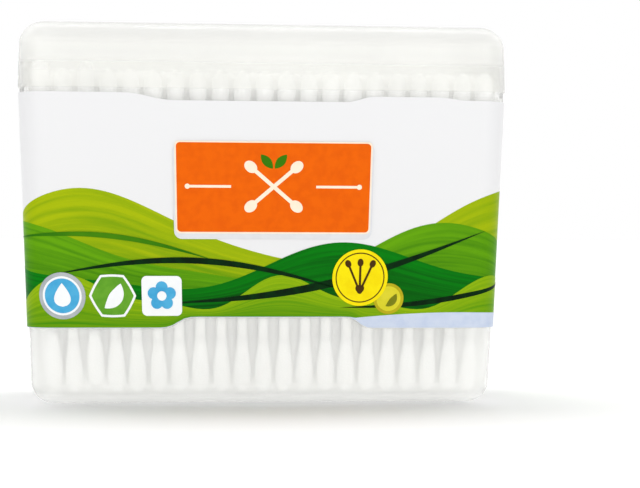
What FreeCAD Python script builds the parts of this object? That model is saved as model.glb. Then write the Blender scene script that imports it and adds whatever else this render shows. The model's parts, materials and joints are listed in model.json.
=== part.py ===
import FreeCAD, Part
import math
import os

# A frosted plastic box of cotton swabs. The body tapers towards its foot and has a collar round its
# mouth, the lid sits over the collar and turns on a hinge line along the back edge, a printed film
# label is wrapped round the body, and 200 swabs stand inside in ten staggered rows.
# Millimetres, +Z up, +X to the right seen from the front, +Y to the back. The origin is on the
# table under the middle of the box.

# Swabs
swab_length = 75.0
stem_diameter = 2.4
tip_diameter = 4.3          # the cotton at its thickest
tip_end_diameter = 2.2      # the blunt end of the cotton
tip_length = 12.0
tip_bulge = 3.6             # from the blunt end to the thickest place
neck_cotton = 0.2           # thickness of the cotton where it runs out on the stem
row_count = 10
long_row_count = 21         # swabs in the front row and in every second row behind it
short_row_count = 19        # swabs in the rows between, which lack one at alternate ends
gap_in_row = 0.55           # between neighbours of one row, at their feet
gap_between_rows = 0.12     # between a tip and the nearest tips of the next row
seat_gap = 0.25             # under the swabs
raised_swabs = {(0, 0): 2.0, (0, 2): 1.8, (9, 5): 1.2, (9, 14): 1.6}  # (row, place): height
stem_sides = 3
tip_sides = 5

# Body
wall = 1.2
floor_thickness = 1.4
foot_height = 0.8           # depth of the recess under the floor
foot_ring = 2.5             # flat ring that the box stands on
end_room = 1.9              # from the end swabs to the end walls, at the floor
front_room = 0.7            # from the front and back rows to the walls, at the floor
draft = math.tan(math.radians(2.3))
corner_radius = 6.0
foot_radius = 5.0
inner_foot_radius = 2.5
swabs_above_body = 4.45     # how far the swabs reach above the parting line
collar_height = 4.0
collar_wall = 0.8
ledge_thickness = 1.2       # carries the collar and the lid's edge

# Lid
lid_wall = 1.0
lid_top = 1.2
lid_height = 15.5
lid_radius = 5.5
lid_draft = 0.02
lid_overhang = 0.35         # beyond the body's rim, so that the lid is level with the label
lid_clearance = 0.4         # round the collar
lid_seat_gap = 0.05
tip_clearance = 0.7         # from the swabs' tops to the collar

# Hinge line along the back edge
hinge_length = 84.0
hinge_reach = 0.9           # from the back face to the hinge axis
hinge_lip = 0.8             # thickness of each lip
hinge_gap = 0.05            # from each lip to the axis

# Label
label_thickness = 0.25
label_gap = 0.1
label_below_lip = 0.3
label_foot = 17.7           # height of the lower edge at the ends
label_foot_rise = 2.5
label_foot_steps = (-24.0, -16.0, 19.0, 25.0)
label_top_dips = (1.7, 0.4, 1.1)
label_top_steps = (-34.0, -20.0, 18.0, 26.0, 40.0, 48.0)

# Places that follow from the sizes above
pitch = tip_diameter + gap_in_row
row_pitch = math.sqrt((tip_diameter + gap_between_rows) ** 2 - (pitch / 2) ** 2)
floor_z = foot_height + floor_thickness
swab_z = floor_z + seat_gap
part_z = swab_z + swab_length - swabs_above_body
top_z = part_z + lid_height
end_x = (long_row_count - 1) / 2 * pitch
end_y = (row_count - 1) / 2 * row_pitch
base_x = end_x + tip_diameter / 2 + end_room + wall
base_y = end_y + tip_diameter / 2 + front_room + wall
rim_x = base_x + draft * part_z
rim_y = base_y + draft * part_z
collar_inset = lid_wall + lid_clearance - lid_overhang
mouth_inset = collar_inset + collar_wall
spread_x = (rim_x - mouth_inset - tip_clearance - tip_diameter / 2) / end_x
spread_y = (rim_y - mouth_inset - tip_clearance - tip_diameter / 2) / end_y
hinge_y = rim_y + hinge_reach


def flat_face(points):
    return Part.Face(Part.makePolygon(points + points[:1]))


def facet_solid(rings):
    # Closed solid through level polygons with as many corners each, from the lowest to the highest.
    faces = [flat_face(rings[0][::-1]), flat_face(rings[-1])]
    for low, high in zip(rings, rings[1:]):
        for i in range(len(low)):
            j = (i + 1) % len(low)
            faces.append(flat_face([low[i], low[j], high[j], high[i]]))
    shell = Part.Shell(faces)
    shell.sewShape()
    return Part.Solid(shell)


def block(half_x, half_y, low, high, slope, corner, low_radius=0.0, high_radius=0.0):
    # Block with rounded upright edges. half_x and half_y hold at the height low, and each side moves
    # out by slope for each millimetre up.
    out = slope * (high - low)
    high_x = half_x + out
    high_y = half_y + out
    solid = Part.makeWedge(-half_x, low, -half_y, -high_y, -high_x, half_x, high, half_y, high_y, high_x)
    solid.rotate(FreeCAD.Vector(0, 0, 0), FreeCAD.Vector(1, 0, 0), 90)
    upright = [edge for edge in solid.Edges if edge.BoundBox.ZLength > (high - low) / 2]
    solid = solid.makeFillet(corner, upright)
    for radius, z in ((low_radius, low), (high_radius, high)):
        if radius > 0:
            loop = [edge for edge in solid.Edges if abs(edge.CenterOfMass.z - z) < 0.001]
            solid = solid.makeFillet(min(radius, 0.95 * corner), loop)
    return solid


def body_block(inset, low, high, **radii):
    # Block that follows the outside of the body, smaller by inset all round.
    grow = draft * low - inset
    return block(base_x + grow, base_y + grow, low, high, draft, corner_radius - inset, **radii)


def rim_block(inset, low, high, slope=0.0, high_radius=0.0):
    # Block that follows the parting line's outline, smaller by inset all round.
    grow = slope * (low - part_z) - inset
    return block(rim_x + grow, rim_y + grow, low, high, slope, corner_radius - inset, high_radius=high_radius)


def hinge_lip_box(low, high):
    depth = hinge_reach + wall / 2 - hinge_gap
    corner = FreeCAD.Vector(-hinge_length / 2, rim_y - wall / 2, low)
    return Part.makeBox(hinge_length, depth, high - low, corner)


def box_body():
    ledge_z = part_z - ledge_thickness
    shape = body_block(0.0, 0.0, part_z, low_radius=foot_radius)
    shape = shape.cut(body_block(wall, floor_z, ledge_z, low_radius=inner_foot_radius))
    shape = shape.fuse(rim_block(collar_inset, part_z - ledge_thickness / 2, part_z + collar_height))
    shape = shape.cut(rim_block(mouth_inset, ledge_z - wall, part_z + collar_height + wall))
    shape = shape.fuse(hinge_lip_box(part_z - hinge_lip, part_z - hinge_gap))
    recess = foot_radius + foot_ring
    return shape.cut(block(base_x - recess, base_y - recess, -wall, foot_height, 0.0, corner_radius))


def lid():
    low = part_z + lid_seat_gap
    inner = lid_wall - lid_overhang
    shape = rim_block(-lid_overhang, low, top_z, -lid_draft, lid_radius)
    shape = shape.cut(rim_block(inner, low - wall, top_z - lid_top, -lid_draft, lid_radius - lid_wall))
    return shape.fuse(hinge_lip_box(part_z + hinge_gap, part_z + hinge_lip))


def stepped_edge(stops):
    # Edges through (x, z) stops in the plane y = 0: level runs, and smooth steps between levels.
    edges = []
    for (x0, z0), (x1, z1) in zip(stops, stops[1:]):
        middle = (x0 + x1) / 2
        poles = [FreeCAD.Vector(x, 0, z) for x, z in ((x0, z0), (middle, z0), (middle, z1), (x1, z1))]
        if abs(z1 - z0) < 0.001:
            edges.append(Part.makeLine(poles[0], poles[-1]))
        else:
            curve = Part.BezierCurve()
            curve.setPoles(poles)
            edges.append(curve.toShape())
    return edges


def label():
    reach = rim_x + lid_height
    high = part_z - hinge_lip - label_below_lip
    raised = label_foot + label_foot_rise
    foot_z = (label_foot, raised, raised, label_foot)
    foot_stops = [(-reach, label_foot), *zip(label_foot_steps, foot_z), (reach, label_foot)]
    dip = [high - d for d in label_top_dips]
    top_z_stops = (high, dip[0], dip[0], dip[1], dip[1], dip[2])
    top_stops = [(-reach, high), *zip(label_top_steps, top_z_stops), (reach, dip[2])]
    edges = stepped_edge(foot_stops) + stepped_edge(top_stops)
    for x, z0, z1 in ((-reach, label_foot, high), (reach, label_foot, dip[2])):
        edges.append(Part.makeLine(FreeCAD.Vector(x, 0, z0), FreeCAD.Vector(x, 0, z1)))
    outline = Part.Face(Part.Wire(Part.__sortEdges__(edges)))
    outline.translate(FreeCAD.Vector(0, -reach, 0))
    cutter = outline.extrude(FreeCAD.Vector(0, 2 * reach, 0))
    sleeve = body_block(-label_gap - label_thickness, label_foot - wall, part_z)
    sleeve = sleeve.cut(body_block(-label_gap, label_foot - 2 * wall, part_z + wall))
    return sleeve.common(cutter)


def row_places(row):
    # x of each swab at the floor, in steps of the pitch. Rows are staggered by half a step.
    if row % 2 == 0:
        return [(i - (long_row_count - 1) / 2) * pitch for i in range(long_row_count)]
    shift = 0.5 if row % 4 == 1 else -0.5
    return [(i - (short_row_count - 1) / 2 + shift) * pitch for i in range(short_row_count)]


def swab_ring(x, y, foot, height, diameter, sides, turn):
    # Level polygon round the swab's leaning axis, at a height above the swab's own foot.
    share = height / swab_length
    cx = x * (1 + (spread_x - 1) * share)
    cy = y * (1 + (spread_y - 1) * share)
    corners = []
    for i in range(sides):
        angle = turn + 2 * math.pi * i / sides
        offset = FreeCAD.Vector(math.cos(angle), math.sin(angle), 0) * (diameter / 2)
        corners.append(FreeCAD.Vector(cx, cy, foot + height) + offset)
    return corners


def swab_row(row):
    # The stems of one row, and the cotton tips of one row.
    y = (row - (row_count - 1) / 2) * row_pitch
    stems = []
    tips = []
    for place, x in enumerate(row_places(row)):
        foot = swab_z + raised_swabs.get((row, place), 0.0)
        stem_stops = (tip_length, swab_length - tip_length)
        stem_rings = [swab_ring(x, y, foot, h, stem_diameter, stem_sides, math.pi / 2) for h in stem_stops]
        stems.append(facet_solid(stem_rings))
        neck = stem_diameter + 2 * neck_cotton
        profile = ((0.0, tip_end_diameter), (tip_bulge, tip_diameter), (tip_length, neck))
        lower = [swab_ring(x, y, foot, h, d, tip_sides, -math.pi / 2) for h, d in profile]
        profile_up = [(swab_length - h, d) for h, d in reversed(profile)]
        upper = [swab_ring(x, y, foot, h, d, tip_sides, -math.pi / 2) for h, d in profile_up]
        tips.append(facet_solid(lower))
        tips.append(facet_solid(upper))
    return stems, tips


def save(name, shape):
    shape.exportStep("parts/" + name + ".step")


os.makedirs("parts", exist_ok=True)
save("box_body", box_body())
save("lid", lid())
save("label", label())
for row in range(row_count):
    stems, tips = swab_row(row)
    save(f"swab_stems_row_{row + 1:02d}", Part.makeCompound(stems))
    save(f"cotton_tips_row_{row + 1:02d}", Part.makeCompound(tips))
print("base", round(2 * base_x, 2), "x", round(2 * base_y, 2), "rim", round(2 * rim_x, 2), "x", round(2 * rim_y, 2))
print("parting line", round(part_z, 2), "top", round(top_z, 2), "hinge axis y", round(hinge_y, 2))
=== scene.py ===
import json
import math
import bpy
import numpy as np
from mathutils import Matrix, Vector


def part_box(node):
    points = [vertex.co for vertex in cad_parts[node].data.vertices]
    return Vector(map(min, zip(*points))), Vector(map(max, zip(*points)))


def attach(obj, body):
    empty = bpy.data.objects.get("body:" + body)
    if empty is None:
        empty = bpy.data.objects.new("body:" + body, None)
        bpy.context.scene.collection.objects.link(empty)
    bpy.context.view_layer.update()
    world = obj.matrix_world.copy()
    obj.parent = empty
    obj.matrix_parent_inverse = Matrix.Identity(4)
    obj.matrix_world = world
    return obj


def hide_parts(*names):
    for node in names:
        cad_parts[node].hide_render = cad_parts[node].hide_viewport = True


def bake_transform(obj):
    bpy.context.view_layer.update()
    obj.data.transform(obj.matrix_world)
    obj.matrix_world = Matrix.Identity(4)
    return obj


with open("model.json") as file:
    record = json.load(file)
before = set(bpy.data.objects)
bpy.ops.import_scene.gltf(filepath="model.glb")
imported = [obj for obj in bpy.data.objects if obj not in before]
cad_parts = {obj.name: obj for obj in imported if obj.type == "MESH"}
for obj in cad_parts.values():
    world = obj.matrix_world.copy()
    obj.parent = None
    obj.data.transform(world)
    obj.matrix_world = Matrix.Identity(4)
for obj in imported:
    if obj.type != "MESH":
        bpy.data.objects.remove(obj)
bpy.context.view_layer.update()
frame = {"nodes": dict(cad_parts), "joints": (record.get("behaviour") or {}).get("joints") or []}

print("frame loaded")

# Everything is in metres. +X is right, +Y is the hinged back, +Z is up, and the box stands on z = 0.


# Small helpers for meshes and materials

def makePiece(name, points, faces, material, body, uv=None):
    # points is (n, 3), faces a list of index tuples, uv a (u, v) pair for each point
    mesh = bpy.data.meshes.new(name)
    mesh.from_pydata(points.tolist(), [], faces)
    mesh.polygons.foreach_set("use_smooth", [True] * len(mesh.polygons))
    # An open edge is kept sharp, so that a thin layer's rim doesn't shade its face
    edges = np.zeros(len(mesh.loops), int)
    mesh.loops.foreach_get("edge_index", edges)
    mesh.edges.foreach_set("use_edge_sharp", np.bincount(edges, minlength=len(mesh.edges)) < 2)
    if uv is not None:
        corner = np.zeros(len(mesh.loops), int)
        mesh.loops.foreach_get("vertex_index", corner)
        layer = mesh.uv_layers.new(name="printUv")
        layer.data.foreach_set("uv", uv[corner].astype(np.float32).ravel())
    mesh.update()
    mesh.materials.append(material)
    obj = bpy.data.objects.new(name, mesh)
    bpy.context.scene.collection.objects.link(obj)
    if body:
        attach(obj, body)
    return obj


def gridFaces(rows, cols, closed=False):
    # Quads between neighbours of a rows by cols grid; closed joins the last column to the first
    i, j = np.meshgrid(np.arange(rows - 1), np.arange(cols if closed else cols - 1), indexing="ij")
    k = (j + 1) % cols
    return np.stack([i * cols + j, i * cols + k, (i + 1) * cols + k, (i + 1) * cols + j], -1).reshape(-1, 4)


def newMaterial(name):
    material = bpy.data.materials.new(name)
    material.use_nodes = True
    return material, material.node_tree, material.node_tree.nodes["Principled BSDF"]


def addNode(tree, kind, **values):
    # A node with its properties and input values set by name; spaces in input names are underscores
    node = tree.nodes.new(kind)
    for key, value in values.items():
        label = key.replace("_", " ")
        if label in node.inputs:
            node.inputs[label].default_value = value
        else:
            setattr(node, key, value)
    return node


def addBump(tree, shader, height, strength, distance):
    bump = addNode(tree, "ShaderNodeBump", Strength=strength, Distance=distance)
    tree.links.new(height, bump.inputs["Height"])
    tree.links.new(bump.outputs["Normal"], shader.inputs["Normal"])


def colourRamp(tree, factor, stops):
    # Colour ramp through (position, linear colour) stops
    ramp = tree.nodes.new("ShaderNodeValToRGB")
    elements = ramp.color_ramp.elements
    while len(elements) < len(stops):
        elements.new(0.5)
    for element, (position, colour) in zip(elements, stops):
        element.position = position
        element.color = (*colour, 1.0)
    tree.links.new(factor, ramp.inputs["Fac"])
    return ramp.outputs["Color"]


def fromScreen(red, green, blue):
    # Linear colour of a screen colour given as 0 to 255
    c = np.array([red, green, blue]) / 255.0
    return tuple(np.where(c <= 0.04045, c / 12.92, ((c + 0.055) / 1.055) ** 2.4))


# Frosted plastic of the body, the lid and the hinge film: it lets light through and blurs what is
# behind. It is milkier where it is thicker or rounded over: clear gives (height, share of light let
# through) from the foot ring up to the thin collar, and from the lid's edge up to its top. The colour
# is greyed by height in the same way, as painted shade on the foot ring, the lid's low edge and its
# rounded top: a list of (height, share of the colour).

frosted = dict(
    body=dict(
        colour=fromScreen(254, 254, 252),
        clear=[(0.0, 0.25), (0.0012, 0.3), (0.0026, 0.63), (0.0690, 0.63), (0.0700, 0.8)],
        paintedShade=[(0.0, 0.88), (0.0012, 0.98), (0.0026, 0.98), (0.0040, 1.0)],
        roughness=0.09,
    ),
    lid=dict(
        colour=fromScreen(252, 252, 249),
        clear=[(0.0730, 0.8), (0.0785, 0.79), (0.0800, 0.6), (0.0835, 0.55), (0.0860, 0.32), (0.0885, 0.25)],
        paintedShade=[(0.0730, 0.95), (0.0810, 0.95), (0.0840, 1.0), (0.0862, 0.97), (0.0873, 0.88), (0.0885, 0.76)],
        roughness=0.27,
    ),
    height=0.09, ior=1.35, grain=2600.0, grainBump=0.12, cloud=55.0, cloudShade=0.97,
)


def makeFrosted(name, colour, clear, paintedShade, roughness):
    material, tree, shader = newMaterial(name)
    shader.inputs["Roughness"].default_value = roughness
    shader.inputs["IOR"].default_value = frosted["ior"]
    place = tree.nodes.new("ShaderNodeTexCoord").outputs["Object"]
    split = tree.nodes.new("ShaderNodeSeparateXYZ")
    tree.links.new(place, split.inputs["Vector"])
    height = addNode(tree, "ShaderNodeMath", operation="DIVIDE")
    height.inputs[1].default_value = frosted["height"]
    tree.links.new(split.outputs["Z"], height.inputs[0])
    # Ramps by height: the share of light let through, and the painted shade that greys the colour
    shares = []
    for stops in (clear, paintedShade):
        placed = [(z / frosted["height"], (share,) * 3) for z, share in stops]
        shares.append(colourRamp(tree, height.outputs["Value"], placed))
    tree.links.new(shares[0], shader.inputs["Transmission Weight"])
    cloud = addNode(tree, "ShaderNodeTexNoise", Scale=frosted["cloud"], Detail=3.0)
    tree.links.new(place, cloud.inputs["Vector"])
    shade = tuple(frosted["cloudShade"] * c for c in colour)
    tint = addNode(tree, "ShaderNodeMix", data_type="RGBA", blend_type="MULTIPLY")
    tint.inputs["Factor"].default_value = 1.0
    tree.links.new(colourRamp(tree, cloud.outputs["Fac"], [(0.35, shade), (0.65, colour)]), tint.inputs[6])
    # The cloudy colour is multiplied by the painted shade by height
    tree.links.new(shares[1], tint.inputs[7])
    tree.links.new(tint.outputs[2], shader.inputs["Base Color"])
    grain = addNode(tree, "ShaderNodeTexNoise", Scale=frosted["grain"], Detail=2.0)
    tree.links.new(place, grain.inputs["Vector"])
    addBump(tree, shader, grain.outputs["Fac"], frosted["grainBump"], 0.0002)
    return material


frostedPlastic = makeFrosted("frostedPlastic", **frosted["lid"])
frostedBody = makeFrosted("frostedBody", **frosted["body"])
for nodeName, material in (("box_body", frostedBody), ("lid", frostedPlastic)):
    node = frame["nodes"][nodeName]
    node.data.materials.clear()
    node.data.materials.append(material)
    node.visible_shadow = False   # frosted walls spread light rather than stop it
    node.visible_diffuse = False
print("frosted plastic done")


# Hinge film: a thin strip that joins the two lips at the hinge axis

hingeFilm = dict(lengthShare=0.985, reach=0.0005, thickness=0.0002, setBack=0.00002, bendHalf=0.00006, steps=9)


def makeHingeFilm():
    # Rectangle section swept up z: an outer face at y0 and an inner one at y0 minus the thickness
    joint = frame["joints"][0]
    axisZ = joint["pos_m"][2]
    low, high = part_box("lid")
    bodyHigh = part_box("box_body")[1]
    halfLength = 0.042 * hingeFilm["lengthShare"]
    outerY = min(high.y, bodyHigh.y) - hingeFilm["setBack"]
    z = axisZ + np.linspace(-1, 1, hingeFilm["steps"]) * hingeFilm["reach"]
    section = np.array([[-halfLength, outerY - hingeFilm["thickness"]], [halfLength, outerY - hingeFilm["thickness"]],
                        [halfLength, outerY], [-halfLength, outerY]])
    points = np.concatenate([np.tile(section, (len(z), 1)), np.repeat(z, 4)[:, None]], 1)
    faces = gridFaces(len(z), 4, closed=True).tolist()
    last = (len(z) - 1) * 4
    faces += [[3, 2, 1, 0], [last, last + 1, last + 2, last + 3]]
    film = makePiece("hinge_film", points, faces, frostedPlastic, None)
    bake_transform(film)


makeHingeFilm()
print("hinge film done")


# Swabs: round wound tips and round sticks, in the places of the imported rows

swab = dict(
    tipLength=0.0128, packedTip=0.012, bulge=0.00215, neck=0.00128, stem=0.0012, stemInside=0.0015,
    end=[0.00003, 0.0008, 0.0024], shoulder=[0.0056, 0.0080, 0.0104, 0.0128], endPower=2.3,
    sides=8, stemSides=8, thinner=0.05, stretch=0.0005,
)
cotton = dict(
    colour=fromScreen(254, 254, 252), shade=fromScreen(249, 249, 246), fibre=1500.0, wind=900.0, bump=0.35,
)


def makeCotton():
    # Fine fibres round the tip: noise stretched along z
    material, tree, shader = newMaterial("woundCotton")
    shader.inputs["Roughness"].default_value = 1.0
    shader.inputs["Specular IOR Level"].default_value = 0.1
    shader.inputs["Sheen Weight"].default_value = 0.5
    place = tree.nodes.new("ShaderNodeTexCoord").outputs["Object"]
    turn = addNode(tree, "ShaderNodeMapping", Scale=(1.0, 1.0, 0.45))
    tree.links.new(place, turn.inputs["Vector"])
    fibre = addNode(tree, "ShaderNodeTexNoise", Scale=cotton["fibre"], Detail=4.0, Roughness=0.65)
    tree.links.new(turn.outputs["Vector"], fibre.inputs["Vector"])
    tint = colourRamp(tree, fibre.outputs["Fac"], [(0.3, cotton["shade"]), (0.6, cotton["colour"])])
    tree.links.new(tint, shader.inputs["Base Color"])
    addBump(tree, shader, fibre.outputs["Fac"], cotton["bump"], 0.0003)
    return material


def makeStick():
    # Rolled paper stick: near white with a faint grain along z
    material, tree, shader = newMaterial("paperStick")
    shader.inputs["Roughness"].default_value = 0.6
    place = tree.nodes.new("ShaderNodeTexCoord").outputs["Object"]
    turn = addNode(tree, "ShaderNodeMapping", Scale=(1.0, 1.0, 0.05))
    tree.links.new(place, turn.inputs["Vector"])
    grain = addNode(tree, "ShaderNodeTexNoise", Scale=2200.0, Detail=3.0)
    tree.links.new(turn.outputs["Vector"], grain.inputs["Vector"])
    tint = colourRamp(tree, grain.outputs["Fac"], [(0.3, fromScreen(238, 238, 234)), (0.7, fromScreen(250, 250, 248))])
    tree.links.new(tint, shader.inputs["Base Color"])
    return material


def tipProfile():
    # Radius by height from the blunt end. At the end: bulge times a superellipse of the height,
    # (1 - (1 - h / hEnd) ^ p) ^ (1 / p). At the shoulder: a cosine fall from the bulge to the neck.
    below = np.array(swab["end"])
    above = np.array(swab["shoulder"])
    hEnd = 1.4 * below[-1]
    end = swab["bulge"] * (1 - (1 - below / hEnd) ** swab["endPower"]) ** (1 / swab["endPower"])
    fall = (above - above[0]) / (above[-1] - above[0])
    shoulder = swab["neck"] + (swab["bulge"] - swab["neck"]) * (0.5 + 0.5 * np.cos(math.pi * fall))
    return np.concatenate([end, shoulder]), np.concatenate([below, above])


def swabLines(nodeName):
    # Foot and top of each swab's axis, from the corners of its packed stem. The stem's low corners and
    # high corners are averaged, and the line is carried on by the length of a tip at each end.
    mesh = frame["nodes"][nodeName].data
    corners = np.zeros(len(mesh.vertices) * 3)
    mesh.vertices.foreach_get("co", corners)
    corners = np.unique(corners.reshape(-1, 3).round(6), axis=0)
    middle = corners[:, 2].mean()
    ends = []
    for side in (corners[:, 2] < middle, corners[:, 2] >= middle):
        part = corners[side]
        part = part[np.argsort(part[:, 0])]
        ends.append(part.reshape(-1, 3, 3).mean(1))
    low, high = ends
    carry = (high - low) / (high[:, 2:] - low[:, 2:]) * swab["packedTip"]
    return low - carry, high + carry


def turnedShapes(start, along, radii, heights, sides, turn):
    # Closed turned solids, one for each start point: rings of radius r at start + along * h, with a
    # pole at each end. radii and heights are (shapes, rings).
    count, rings = radii.shape
    angle = turn[:, None] + np.arange(sides) / sides * 2 * math.pi
    circle = np.stack([np.cos(angle), np.sin(angle), np.zeros_like(angle)], -1)
    centre = start[:, None, :] + along[:, None, :] * heights[:, :, None]
    body = centre[:, :, None, :] + circle[:, None, :, :] * radii[:, :, None, None]
    poles = centre[:, [0, -1], :]
    points = np.concatenate([body.reshape(count, rings * sides, 3), poles], 1)
    quads = gridFaces(rings, sides, closed=True)
    ring = np.arange(sides)
    following = (ring + 1) % sides
    lowPole, highPole = rings * sides, rings * sides + 1
    lowFan = np.stack([np.full(sides, lowPole), following, ring], 1)
    top = (rings - 1) * sides
    highFan = np.stack([np.full(sides, highPole), top + ring, top + following], 1)
    step = np.arange(count)[:, None, None] * points.shape[1]
    faces = (quads[None] + step).reshape(-1, 4).tolist()
    faces += (np.stack([lowFan, highFan])[None] + step[:, None]).reshape(-1, 3).tolist()
    return points.reshape(-1, 3), faces


def makeSwabRow(row, cottonMaterial, stickMaterial, chance):
    foot, top = swabLines(f"swab_stems_row_{row:02d}")
    count = len(foot)
    rise = (top - foot) / (top - foot)[:, 2:]
    radius, height = tipProfile()
    starts = np.concatenate([foot, top])
    along = np.concatenate([rise, -rise])
    fatness = 1 - swab["thinner"] * chance.random((2 * count, 1))
    longer = 1 + swab["stretch"] / swab["tipLength"] * chance.uniform(-1, 1, (2 * count, 1))
    radii = np.maximum(radius * fatness, np.minimum(radius, swab["neck"]))
    heights = np.where(height > swab["end"][-1], longer, 1) * height
    turn = chance.uniform(0, math.pi, 2 * count)
    points, faces = turnedShapes(starts, along, radii, heights, swab["sides"], turn)
    # The upper tips are built downwards, so their faces are turned round
    faces = flipSecondHalf(faces, len(points) // 2)
    tips = makePiece(f"cotton_tips_{row:02d}", points, faces, cottonMaterial, "box")
    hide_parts(f"cotton_tips_row_{row:02d}")
    inside = swab["tipLength"] - swab["stemInside"]
    ends = np.stack([np.full(count, inside), top[:, 2] - foot[:, 2] - inside], 1)
    stemRadii = np.full((count, 2), swab["stem"])
    points, faces = turnedShapes(foot, rise, stemRadii, ends, swab["stemSides"], np.zeros(count))
    sticks = makePiece(f"sticks_{row:02d}", points, faces, stickMaterial, "box")
    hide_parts(f"swab_stems_row_{row:02d}")


def flipSecondHalf(faces, firstPoint):
    return [face[::-1] if min(face) >= firstPoint else face for face in faces]


woundCotton = makeCotton()
paperStick = makeStick()
chance = np.random.default_rng(11)
for row in range(1, 11):
    makeSwabRow(row, woundCotton, paperStick, chance)
print("swabs done")


# The label's surface. A place on it is (u, z): u is the distance from the middle of the front round
# the label, measured at refZ, and z the height. All print is laid on it with a small lift.

labelLow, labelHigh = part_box("label")
wrap = dict(
    draft=math.tan(math.radians(2.3)), corner=0.00635, refZ=0.045,
    foot=0.0177, footRise=0.0025, footSteps=(-0.024, -0.016, 0.019, 0.025), margin=0.0001,
    layerLift=0.00003, ink=0.00002, step=0.0015, cornerStep=0.0006,
)
film = dict(colour=fromScreen(234, 234, 235), roughness=0.35, inkGloss=0.06, ripple=45.0, rippleBump=0.05, mottle=420.0)


def addRipple(tree, shader):
    # The very slight ripple of the film, which its inks follow
    place = tree.nodes.new("ShaderNodeTexCoord").outputs["Object"]
    ripple = addNode(tree, "ShaderNodeTexNoise", Scale=film["ripple"], Detail=1.0)
    tree.links.new(place, ripple.inputs["Vector"])
    addBump(tree, shader, ripple.outputs["Fac"], film["rippleBump"], 0.002)
    return place


def makeFilm():
    # White printed film, satin
    material, tree, shader = newMaterial("labelFilm")
    shader.inputs["Base Color"].default_value = (*film["colour"], 1)
    shader.inputs["Roughness"].default_value = film["roughness"]
    addRipple(tree, shader)
    return material


frame["nodes"]["label"].data.materials.clear()
frame["nodes"]["label"].data.materials.append(makeFilm())


def halfSizes(z):
    # Half width and half depth of the label at height z: both shrink by draft below the label's top
    drop = (labelHigh.z - z) * wrap["draft"]
    return -labelLow.x - drop, -labelLow.y - drop


def girth(z):
    # Way round the rounded rectangle at height z
    halfX, halfY = halfSizes(z)
    return 4 * (halfX + halfY) - (8 - 2 * math.pi) * wrap["corner"]


labelGirth = girth(wrap["refZ"])


def onLabel(u, z, lift):
    # s = |u| * girth(z) / labelGirth runs round a rounded rectangle from the middle of the front: front
    # run, corner arc, side run, corner arc, back run. Each stretch gives x and y by its own formula for
    # the right half, and the left half is its mirror image.
    halfX, halfY = halfSizes(z)
    r = wrap["corner"]
    s = np.abs(u) * girth(z) / labelGirth
    a, b, arc = halfX - r, 2 * (halfY - r), r * math.pi / 2
    stretches = [s <= a, s <= a + arc, s <= a + arc + b, s <= a + 2 * arc + b]
    one = (s - a) / r
    two = (s - a - arc - b) / r
    x = np.select(stretches, [s, a + (r + lift) * np.sin(one), halfX + lift + 0 * s, a + (r + lift) * np.cos(two)],
                  2 * a + 2 * arc + b - s)
    y = np.select(stretches, [-halfY - lift, r - halfY - (r + lift) * np.cos(one), s - a - arc + r - halfY,
                              halfY - r + (r + lift) * np.sin(two)], halfY + lift)
    return np.stack([np.sign(u) * x, y, z + 0 * s], -1)


def labelFoot(u):
    # Height of the label's lower edge at u: two levels joined by smooth steps. A step is the curve
    # x = 1.5 t (1 - t) + t^3, z = 3 t^2 - 2 t^3, scaled to the step's ends.
    x = onLabel(u, np.full_like(u, wrap["foot"]), 0)[..., 0]
    t = np.linspace(0, 1, 41)
    across, up = 1.5 * t * (1 - t) + t ** 3, 3 * t ** 2 - 2 * t ** 3
    a, b, c, d = wrap["footSteps"]
    rise = np.interp((x - a) / (b - a), across, up) - np.interp((x - c) / (d - c), across, up)
    return wrap["foot"] + wrap["footRise"] * rise + wrap["margin"]


def roundAll():
    # Places u all round the label, closer together at the four corners
    halfX, halfY = halfSizes(wrap["refZ"])
    r = wrap["corner"]
    stops = np.cumsum([0, halfX - r, r * math.pi / 2, 2 * (halfY - r), r * math.pi / 2, halfX - r])
    spans = []
    for k, (low, high) in enumerate(zip(stops, stops[1:])):
        step = wrap["cornerStep"] if k % 2 else wrap["step"]
        spans.append(np.linspace(low, high, int((high - low) / step) + 2)[:-1])
    right = np.concatenate(spans)
    return np.concatenate([-labelGirth / 2 + 0 * right[:1], -right[:0:-1], right])


printShapes = {}   # ink name: list of (points, faces, uv)


def addShape(ink, points, faces, uv):
    printShapes.setdefault(ink, []).append((points, faces, uv))


def addField(ink, low, high, layer, rows, u=None):
    # Band between the heights low(u) and high(u): z = low + t (high - low). Its uv is (u, t), so that
    # streaks run with the band.
    closed = u is None
    u = roundAll() if closed else u
    t = np.linspace(0, 1, rows)[:, None]
    lowZ, highZ = low(u), high(u)
    z = lowZ + t * (highZ - lowZ)
    uGrid = np.broadcast_to(u, z.shape)
    points = onLabel(uGrid, z, layer * wrap["layerLift"]).reshape(-1, 3)
    uv = np.stack([uGrid, t + 0 * z], -1).reshape(-1, 2)
    addShape(ink, points, gridFaces(rows, len(u), closed), uv)


def addRibbon(ink, pathU, pathZ, halfWidth, layer, across=5):
    # Strip along a line on the label: place = path(t) + w halfWidth(t) normal(t), with w from -1 to 1
    path = np.stack([pathU, pathZ], -1)
    along = np.gradient(path, axis=0)
    along /= np.linalg.norm(along, axis=1, keepdims=True)
    normal = np.stack([-along[:, 1], along[:, 0]], -1)
    w = np.linspace(-1, 1, across)[:, None, None]
    place = path + w * np.asarray(halfWidth)[:, None] * normal
    points = onLabel(place[..., 0], place[..., 1], layer * wrap["layerLift"]).reshape(-1, 3)
    addShape(ink, points, gridFaces(across, len(path)), place.reshape(-1, 2))


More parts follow.
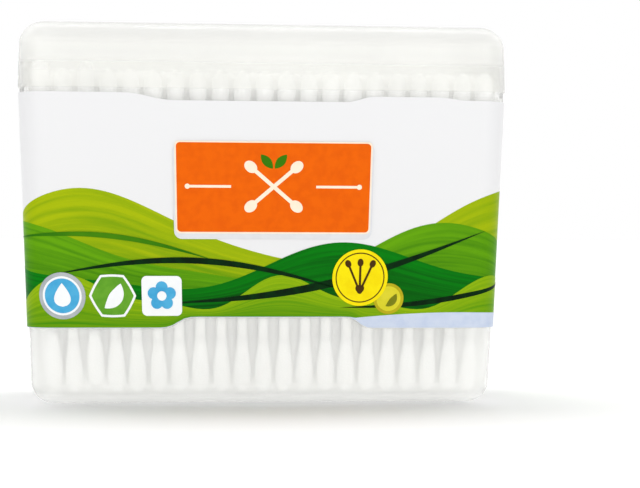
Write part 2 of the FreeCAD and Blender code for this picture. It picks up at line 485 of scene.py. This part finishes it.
def addPatch(ink, centreU, centreZ, outline, layer, rings=4):
    # Filled outline: place = centre + share * outline(angle), with share from 0 to 1. The outline is
    # (n, 2), runs anticlockwise, and every point of it is seen from the centre.
    n = len(outline)
    share = np.linspace(0, 1, rings + 1)[1:, None, None]
    place = np.concatenate([[[0, 0]], (share * outline).reshape(-1, 2)]) + [centreU, centreZ]
    points = onLabel(place[:, 0], place[:, 1], layer * wrap["layerLift"])
    ring = np.arange(n)
    fan = np.stack([np.zeros(n, int), ring + 1, (ring + 1) % n + 1], 1)
    addShape(ink, points, fan.tolist() + (gridFaces(rings, n, True)[:, ::-1] + 1).tolist(), place)


def discOutline(radius, n=40):
    angle = np.arange(n) / n * 2 * math.pi
    return radius * np.stack([np.cos(angle), np.sin(angle)], 1)


def roundedOutline(width, height, radius, n=7):
    # Rounded rectangle: four quarter circles, one after the other
    angle = np.linspace(0, math.pi / 2, n)
    quarters = []
    for k, (sx, sz) in enumerate([(1, 1), (-1, 1), (-1, -1), (1, -1)]):
        turned = angle + k * math.pi / 2
        quarters.append(np.stack([sx * (width / 2 - radius) + radius * np.cos(turned),
                                  sz * (height / 2 - radius) + radius * np.sin(turned)], 1))
    return np.concatenate(quarters)


def sideOutline(radius, sides, rounding, n=60):
    # Polygon with rounded corners: radius * (1 - rounding share of a rectified wave round the circle)
    angle = np.arange(n) / n * 2 * math.pi + math.pi / 2
    inner = math.cos(math.pi / sides) / np.cos((angle - math.pi / 2 + math.pi / sides) % (2 * math.pi / sides) - math.pi / sides)
    r = radius * (inner * (1 - rounding) + rounding * (1 + math.cos(math.pi / sides)) / 2)
    return r[:, None] * np.stack([np.cos(angle), np.sin(angle)], 1)


def addSwabSign(ink, centreU, centreZ, length, lean, thick, layer):
    # Drawn swab: a straight ribbon. Its half width is a stick's, and at both ends an ellipse's,
    # thick * sqrt(1 - (d / tipHalf - 1) ^ 2), where d is the distance from the end.
    tipHalf = 1.3 * thick
    arc = np.linspace(0, math.pi, 19)
    d = tipHalf * (1 - np.cos(arc))
    d = np.concatenate([d, length - d[::-1]])
    near = np.minimum(d, length - d)
    tip = thick * np.sqrt(np.clip(1 - (near / tipHalf - 1) ** 2, 0.0004, 1))
    width = np.where(near < tipHalf, tip, np.maximum(tip, 0.36 * thick))
    u = centreU + (d - length / 2) * math.sin(lean)
    z = centreZ + (d - length / 2) * math.cos(lean)
    addRibbon(ink, u, z, width, layer)


def addLeafSign(ink, centreU, centreZ, length, lean, plump, layer, bend=0.12):
    # Drawn leaf: half width plump * sin(pi t) ^ 0.8, on a slightly bent line
    t = np.linspace(0.0, 1.0, 21)
    side = bend * length * np.sin(math.pi * t)
    u = centreU + (t - 0.5) * length * math.sin(lean) + side * math.cos(lean)
    z = centreZ + (t - 0.5) * length * math.cos(lean) - side * math.sin(lean)
    addRibbon(ink, u, z, plump * length * np.maximum(np.sin(math.pi * t), 0.01) ** 0.8, layer)


# Rolling green hills all round the label. Each hill line is a height plus a cosine with a whole number
# of waves round the label, and a weaker second one.
hills = dict(
    lime=dict(height=0.0405, swing=0.0085, waves=3, shift=-0.040, second=0.0012, layer=1, rows=14),
    leaf=dict(height=0.0345, swing=0.0065, waves=3, shift=-0.056, second=0.0016, layer=2, rows=12),
    forest=dict(height=0.0315, swing=0.0050, waves=3, shift=0.022, second=0.0014, layer=3, rows=12),
    meadow=dict(height=0.0255, swing=0.0035, waves=6, shift=0.006, second=0.0012, layer=4, rows=8),
)
skyStrip = dict(height=0.0188, swing=0.0026, waves=2, shift=0.047, layer=5, rows=5)


def hillLine(hill):
    def line(u):
        phase = 2 * math.pi * hill["waves"] * (u - hill["shift"]) / labelGirth
        return hill["height"] + hill["swing"] * np.cos(phase) + hill["second"] * np.cos(2 * phase + 0.8)
    return line


for name, hill in hills.items():
    addField(name, labelFoot, hillLine(hill), hill["layer"], hill["rows"])


def skyLine(u):
    phase = 2 * math.pi * skyStrip["waves"] * (u - skyStrip["shift"]) / labelGirth
    return np.maximum(skyStrip["height"] + skyStrip["swing"] * np.cos(phase), labelFoot(u) + 0.00008)


addField("sky", labelFoot, skyLine, skyStrip["layer"], skyStrip["rows"])

# Dark blades that sweep across the hills: place and height of both ends, sag, and thickness
blades = [
    dict(start=(-0.050, 0.0300), end=(0.020, 0.0262), sag=0.0052, thick=0.0007, ink="pine"),
    dict(start=(-0.022, 0.0235), end=(0.052, 0.0405), sag=-0.0040, thick=0.0009, ink="pine"),
    dict(start=(-0.060, 0.0385), end=(-0.012, 0.0335), sag=0.0030, thick=0.0006, ink="leaf"),
    dict(start=(0.018, 0.0225), end=(0.066, 0.0300), sag=-0.0020, thick=0.0006, ink="pine"),
    dict(start=(0.095, 0.0290), end=(0.150, 0.0270), sag=0.0050, thick=0.0008, ink="pine"),
    dict(start=(-0.150, 0.0262), end=(-0.095, 0.0315), sag=0.0045, thick=0.0008, ink="pine"),
]


def addBlade(blade, layer):
    # Long thin leaf: a straight line with sag * sin(pi t) added, half width thick * sin(pi t)
    t = np.linspace(0, 1, 60)
    (u0, z0), (u1, z1) = blade["start"], blade["end"]
    arch = np.sin(math.pi * t)
    addRibbon(blade["ink"], u0 + (u1 - u0) * t, z0 + (z1 - z0) * t + blade["sag"] * arch,
              blade["thick"] * np.maximum(arch, 0.02), layer, across=3)


for blade in blades:
    addBlade(blade, 6)

# Orange panel with a cream edge, crossed swabs, and two rules beside them
panel = dict(u=0.00195, z=0.0503, width=0.0452, height=0.0213, corner=0.0011, edge=0.0007, layer=7)
addPatch("shade", panel["u"], panel["z"] - 0.0009, roundedOutline(panel["width"] + 0.0008, panel["height"] + 0.0008, 0.0018), panel["layer"] - 1)
addPatch("cream", panel["u"], panel["z"], roundedOutline(panel["width"], panel["height"], panel["corner"]), panel["layer"])
addPatch("orange", panel["u"], panel["z"], roundedOutline(panel["width"] - panel["edge"], panel["height"] - panel["edge"], 0.0009), panel["layer"] + 1)
for lean in (-1, 1):
    addSwabSign("cream", panel["u"], panel["z"] + 0.0002, 0.0172, lean * 0.86, 0.00125, panel["layer"] + 2 + (lean > 0))
    ruleU = panel["u"] + lean * np.linspace(0.0098, 0.0198, 9)
    addRibbon("cream", ruleU, np.full(9, panel["z"] + 0.0002), np.full(9, 0.0003), panel["layer"] + 2)
    addPatch("cream", panel["u"] + lean * 0.0198, panel["z"] + 0.0002, discOutline(0.0006, 16), panel["layer"] + 3, 1)
    addLeafSign("leaf", panel["u"] + lean * 0.0016, panel["z"] + 0.0060, 0.0042, lean * 0.7, 0.24, panel["layer"] + 2, 0.0)

# Yellow disc with a bundle of swabs, and a gold disc with a leaf at its edge
sun = dict(u=0.0226, z=0.0295, radius=0.0066, layer=9)
addPatch("gold", 0.0296, 0.0246, discOutline(0.0036), 7)
addPatch("straw", 0.0296, 0.0246, discOutline(0.0029), 8)
addLeafSign("olive", 0.0302, 0.0243, 0.0038, 0.7, 0.22, 9)
addPatch("yellow", sun["u"], sun["z"], discOutline(sun["radius"], 56), sun["layer"])
for lean, shift in ((-0.42, -0.0016), (0.0, 0.0), (0.42, 0.0016)):
    addSwabSign("umber", sun["u"] + shift, sun["z"] + 0.0003, 0.0082, lean, 0.0007, sun["layer"] + 1 + (lean > 0) + 2 * (lean == 0))
ringAngle = np.linspace(0, 2 * math.pi, 57)
addRibbon("umber", sun["u"] + 0.0057 * np.cos(ringAngle), sun["z"] + 0.0057 * np.sin(ringAngle), np.full(57, 0.00013), sun["layer"] + 1, 2)

# Three small signs at the lower left: a drop in a silver ring, a leaf in a pale frame, a cotton flower
addPatch("silver", -0.0474, 0.0252, discOutline(0.0054), 7)
addPatch("white", -0.0474, 0.0252, discOutline(0.0045), 8)
addPatch("blue", -0.0474, 0.0252, discOutline(0.0040), 9)
t = np.linspace(0, 1, 24)
addRibbon("white", np.full(24, -0.0474), 0.0227 + 0.0054 * t, 0.0019 * np.sin(math.pi * t ** 0.62) ** 0.9 + 0.00003, 10)
addPatch("white", -0.0357, 0.0252, sideOutline(0.0056, 6, 0.25), 7)
addPatch("moss", -0.0357, 0.0252, sideOutline(0.0050, 6, 0.25), 8)
addLeafSign("white", -0.0357, 0.0252, 0.0068, 0.6, 0.24, 9)
addPatch("white", -0.0242, 0.0252, roundedOutline(0.0094, 0.0092, 0.0012), 7)
for k in range(5):
    angle = math.pi / 2 + k * 2 * math.pi / 5
    addPatch("blue", -0.0242 + 0.0020 * math.cos(angle), 0.0252 + 0.0020 * math.sin(angle), discOutline(0.0014, 20), 8 + k % 2 + (k == 4) * 2, 1)
addPatch("white", -0.0242, 0.0252, discOutline(0.0011, 16), 11, 1)

# Inks: darkest and lightest colour, and how far the streaks along the band show
inks = dict(
    lime=dict(dark=(78, 142, 2), light=(168, 186, 4), streak=0.7),
    leaf=dict(dark=(6, 96, 2), light=(100, 164, 6), streak=0.7),
    forest=dict(dark=(0, 46, 4), light=(0, 124, 10), streak=0.75),
    meadow=dict(dark=(62, 138, 4), light=(150, 184, 8), streak=0.65),
    pine=dict(dark=(0, 26, 4), light=(0, 44, 8)),
    sky=dict(dark=(198, 210, 232), light=(208, 218, 236)),
    shade=dict(dark=(222, 223, 226), light=(226, 227, 230)),
    cream=dict(dark=(253, 234, 208), light=(255, 239, 216)),
    orange=dict(dark=(232, 95, 0), light=(239, 102, 0)),
    yellow=dict(dark=(245, 220, 4), light=(250, 230, 10)),
    gold=dict(dark=(176, 164, 24), light=(190, 176, 30)),
    straw=dict(dark=(214, 206, 40), light=(222, 212, 52)),
    olive=dict(dark=(120, 124, 20), light=(124, 128, 24)),
    umber=dict(dark=(70, 46, 12), light=(74, 50, 14)),
    silver=dict(dark=(168, 174, 178), light=(182, 188, 192)),
    white=dict(dark=(246, 248, 250), light=(248, 250, 250)),
    blue=dict(dark=(68, 164, 214), light=(82, 176, 221)),
    moss=dict(dark=(92, 156, 40), light=(104, 166, 46)),
)


def makeInk(name, ink):
    # Ink on the film. A hill's ink runs from dark at its foot to light at its crest, mixed with noise
    # that is stretched along the band. Any other ink is slightly mottled from dark to light.
    material, tree, shader = newMaterial(name + "Ink")
    shader.inputs["Roughness"].default_value = film["roughness"]
    shader.inputs["Specular IOR Level"].default_value = film["inkGloss"]
    place = addRipple(tree, shader)
    dark, light = fromScreen(*ink["dark"]), fromScreen(*ink["light"])
    if "streak" not in ink:
        mottle = addNode(tree, "ShaderNodeTexNoise", Scale=film["mottle"], Detail=4.0)
        tree.links.new(place, mottle.inputs["Vector"])
        tint = colourRamp(tree, mottle.outputs["Fac"], [(0.35, dark), (0.6, light)])
        tree.links.new(tint, shader.inputs["Base Color"])
        return material
    uv = addNode(tree, "ShaderNodeUVMap", uv_map="printUv").outputs["UV"]
    stretch = addNode(tree, "ShaderNodeMapping", Scale=(24.0, 15.0, 1.0))
    tree.links.new(uv, stretch.inputs["Vector"])
    noise = addNode(tree, "ShaderNodeTexNoise", Scale=1.0, Detail=5.0, Roughness=0.6)
    tree.links.new(stretch.outputs["Vector"], noise.inputs["Vector"])
    split = tree.nodes.new("ShaderNodeSeparateXYZ")
    tree.links.new(uv, split.inputs["Vector"])
    mixed = addNode(tree, "ShaderNodeMath", operation="MULTIPLY_ADD")
    mixed.inputs[1].default_value = 0.55
    tree.links.new(split.outputs["Y"], mixed.inputs[0])
    shifted = addNode(tree, "ShaderNodeMath", operation="MULTIPLY_ADD")
    shifted.inputs[1].default_value = 2 * ink["streak"]
    shifted.inputs[2].default_value = 0.25 - ink["streak"]
    tree.links.new(noise.outputs["Fac"], shifted.inputs[0])
    tree.links.new(shifted.outputs["Value"], mixed.inputs[2])
    colour = colourRamp(tree, mixed.outputs["Value"], [(0.1, dark), (0.9, light)])
    tree.links.new(colour, shader.inputs["Base Color"])
    return material


def makePrint(name, shapes):
    # All shapes of one ink as one piece, with the thickness of the ink laid inwards
    sizes = [len(points) for points, faces, uv in shapes]
    starts = np.concatenate([[0], np.cumsum(sizes)[:-1]])
    points = np.concatenate([points for points, faces, uv in shapes])
    uv = np.concatenate([uv for points, faces, uv in shapes])
    faces = [[corner + start for corner in face] for start, (_, shape, _) in zip(starts.tolist(), shapes)
             for face in np.asarray(shape, dtype=object).tolist()]
    piece = makePiece("print_" + name, points, faces, makeInk(name, inks[name]), "box", uv)
    thickness = piece.modifiers.new("ink", "SOLIDIFY")
    thickness.thickness = wrap["ink"]
    thickness.offset = -1.0
    return piece


for name, shapes in printShapes.items():
    makePrint(name, shapes)
print("label print done")


# Floor, light and camera

stage = dict(size=12.0, diffuse=1.0, glow=0.03, bounce=0.62, lift=0.47, world=0.45)


def backdropShare(tree):
    # 1 for what the camera sees, straight or by gloss or through frosted plastic, and 0 for other light
    rays = tree.nodes.new("ShaderNodeLightPath")
    share = rays.outputs["Is Camera Ray"]
    for kind in ("Is Glossy Ray", "Is Transmission Ray"):
        more = addNode(tree, "ShaderNodeMath", operation="MAXIMUM")
        tree.links.new(share, more.inputs[0])
        tree.links.new(rays.outputs[kind], more.inputs[1])
        share = more.outputs["Value"]
    return share


def makeStage():
    half = stage["size"] / 2
    points = np.array([[-half, -half, 0], [half, -half, 0], [half, half, 0], [-half, half, 0]])
    material, tree, shader = newMaterial("paleFloor")
    shader.inputs["Base Color"].default_value = (stage["bounce"],) * 3 + (1,)
    shader.inputs["Emission Color"].default_value = (1, 1, 1, 1)
    shader.inputs["Emission Strength"].default_value = stage["lift"]   # lit from below a little, as on a light table
    shader.inputs["Roughness"].default_value = 1.0
    shader.inputs["Specular IOR Level"].default_value = 0.0
    seen = addNode(tree, "ShaderNodeBsdfDiffuse", Color=(stage["diffuse"],) * 3 + (1,))
    glow = addNode(tree, "ShaderNodeEmission", Color=(1, 1, 1, 1), Strength=stage["glow"])
    both = tree.nodes.new("ShaderNodeAddShader")
    tree.links.new(seen.outputs[0], both.inputs[0])
    tree.links.new(glow.outputs[0], both.inputs[1])
    mix = tree.nodes.new("ShaderNodeMixShader")
    tree.links.new(backdropShare(tree), mix.inputs[0])
    tree.links.new(shader.outputs[0], mix.inputs[1])
    tree.links.new(both.outputs[0], mix.inputs[2])
    tree.links.new(mix.outputs[0], tree.nodes["Material Output"].inputs["Surface"])
    floor = makePiece("floor", points, [[0, 1, 2, 3]], material, None)


def makeWorld():
    world = bpy.data.worlds.new("studio")
    world.use_nodes = True
    bpy.context.scene.world = world
    tree = world.node_tree
    light = tree.nodes["Background"]
    light.inputs["Color"].default_value = (1, 1, 1, 1)
    light.inputs["Strength"].default_value = stage["world"]
    seen = addNode(tree, "ShaderNodeBackground", Color=(1, 1, 1, 1), Strength=1.0)
    mix = tree.nodes.new("ShaderNodeMixShader")
    tree.links.new(backdropShare(tree), mix.inputs[0])
    tree.links.new(light.outputs[0], mix.inputs[1])
    tree.links.new(seen.outputs[0], mix.inputs[2])
    tree.links.new(mix.outputs[0], tree.nodes["World Output"].inputs["Surface"])


# Two low lamps in front, and a row of five above and behind that acts as one long strip light
lamps = dict(
    frontLeft=dict(place=(-0.44, -0.90, 0.16), spread=50.0, power=0.7),
    frontRight=dict(place=(0.44, -0.90, 0.16), spread=50.0, power=0.78),
)
strip = dict(x=(-0.8, -0.4, 0.0, 0.4, 0.8), y=0.5, z=1.0, spread=42.0, power=(0.3, 0.5, 0.65, 0.5, 0.3))
for k, (x, power) in enumerate(zip(strip["x"], strip["power"])):
    lamps[f"strip{k + 1}"] = dict(place=(x, strip["y"], strip["z"]), spread=strip["spread"], power=power)


def aimMatrix(place, target, roll=0.0):
    # Columns: right, up and backward of something that looks from place to target, turned by roll
    place, target = np.array(place, float), np.array(target, float)
    forward = (target - place) / np.linalg.norm(target - place)
    right = np.cross(forward, [0, 0, 1.0])
    right /= np.linalg.norm(right)
    up = np.cross(right, forward)
    turnedRight = right * math.cos(roll) + up * math.sin(roll)
    turnedUp = up * math.cos(roll) - right * math.sin(roll)
    matrix = np.eye(4)
    matrix[:3, 0], matrix[:3, 1], matrix[:3, 2], matrix[:3, 3] = turnedRight, turnedUp, -forward, place
    return Matrix(matrix.tolist())


def makeLamps():
    # Far soft lights: each is a wide disc in the sky, spread degrees across
    for name, lamp in lamps.items():
        light = bpy.data.lights.new(name, "SUN")
        light.angle = math.radians(lamp["spread"])
        light.energy = lamp["power"]
        obj = bpy.data.objects.new(name, light)
        obj.matrix_world = aimMatrix(lamp["place"], (0, 0, 0.045))
        obj.visible_glossy = lamp["place"][1] < 0   # the strip leaves no bright line on the lid's top edge
        bpy.context.scene.collection.objects.link(obj)


# The camera is level with the middle of the box and a little to its left, leaning clockwise a touch
camera = dict(distance=0.4, yaw=3.03, pan=2.12, tilt=-0.5, roll=0.25, height=0.0406, focalPixels=1629.5, imageWidth=640)


def makeCamera():
    yaw, heading = math.radians(camera["yaw"]), math.radians(camera["yaw"] + camera["pan"])
    tilt = math.radians(camera["tilt"])
    place = np.array([-camera["distance"] * math.sin(yaw), -camera["distance"] * math.cos(yaw), camera["height"]])
    forward = np.array([math.sin(heading) * math.cos(tilt), math.cos(heading) * math.cos(tilt), math.sin(tilt)])
    data = bpy.data.cameras.new("camera")
    data.sensor_width = 36.0
    data.lens = camera["focalPixels"] / camera["imageWidth"] * data.sensor_width
    obj = bpy.data.objects.new("camera", data)
    obj.matrix_world = aimMatrix(place, place + forward, math.radians(camera["roll"]))
    bpy.context.scene.collection.objects.link(obj)
    bpy.context.scene.camera = obj


makeStage()
makeWorld()
makeLamps()
makeCamera()
bpy.context.scene.view_settings.view_transform = "Standard"
print("stage, light and camera done")
